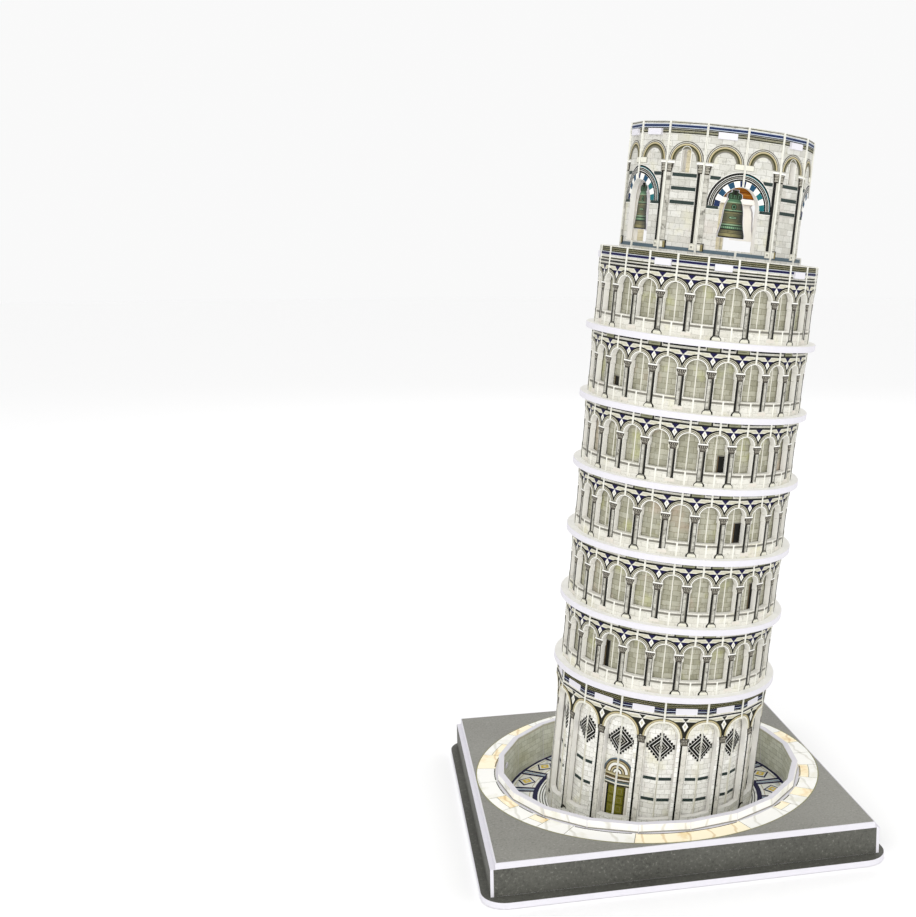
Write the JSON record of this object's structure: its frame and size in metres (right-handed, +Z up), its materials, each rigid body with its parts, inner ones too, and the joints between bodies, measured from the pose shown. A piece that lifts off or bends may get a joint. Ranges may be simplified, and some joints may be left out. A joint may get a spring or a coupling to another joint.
{
  "type": "miniature landmark model",
  "caption": "Slotted foam-board model of a leaning round bell tower on a square base, with arcaded galleries and a lift-off belfry.",
  "frame": {"origin": "centre of the underside of the bottom plate", "axes": "+Z up along the longest extent, +X towards the side the tower leans to, -Y towards the front edge of the base"},
  "size_m": [0.143, 0.143, 0.2572],
  "materials": {
    "grey_print": "printed card on foam board, speckled dark grey",
    "marble_print": "printed card on foam board, grey with a ring of white and cream marble slabs",
    "stone_print": "printed card on foam board, pale stone blocks",
    "arcade_print": "printed card on foam board, white marble arcades with dark inlay",
    "white_foam": "bare white foam board",
    "timber_print": "printed card on foam board, brown timber",
    "bell_print": "printed card on foam board, green bronze bell"
  },
  "bodies": {
    "model": {"base_bottom_plate": "grey_print", "base_front_panel": "grey_print", "base_back_panel": "grey_print", "base_left_panel": "grey_print", "base_right_panel": "grey_print", "base_top_plate": "marble_print", "well_wall": "stone_print", "ground_arcade": "arcade_print", "ground_wall": "stone_print", "ground_ceiling": "white_foam", "ring_1": "white_foam", "ring_2": "white_foam", "ring_3": "white_foam", "ring_4": "white_foam", "ring_5": "white_foam", "ring_6": "white_foam", "gallery_1": "arcade_print", "gallery_2": "arcade_print", "gallery_3": "arcade_print", "gallery_4": "arcade_print", "gallery_5": "arcade_print", "gallery_6": "arcade_print", "inner_tube": "stone_print", "belfry_floor": "white_foam", "belfry_inner_wall": "stone_print", "bell_1": "bell_print", "bell_beam_1": "timber_print", "bell_2": "bell_print", "bell_beam_2": "timber_print", "bell_3": "bell_print", "bell_beam_3": "timber_print", "bell_4": "bell_print", "bell_beam_4": "timber_print", "bell_5": "bell_print", "bell_beam_5": "timber_print"},
    "belfry_shell": {"belfry_outer_wall": "arcade_print", "belfry_ceiling": "white_foam"}
  },
  "joints": [
    {"name": "belfry_lift", "type": "slide", "parent": "model", "child": "belfry_shell", "axis": [0.1002, -0.034, 0.9944], "range_m": [0, 0.045]}
  ]
}
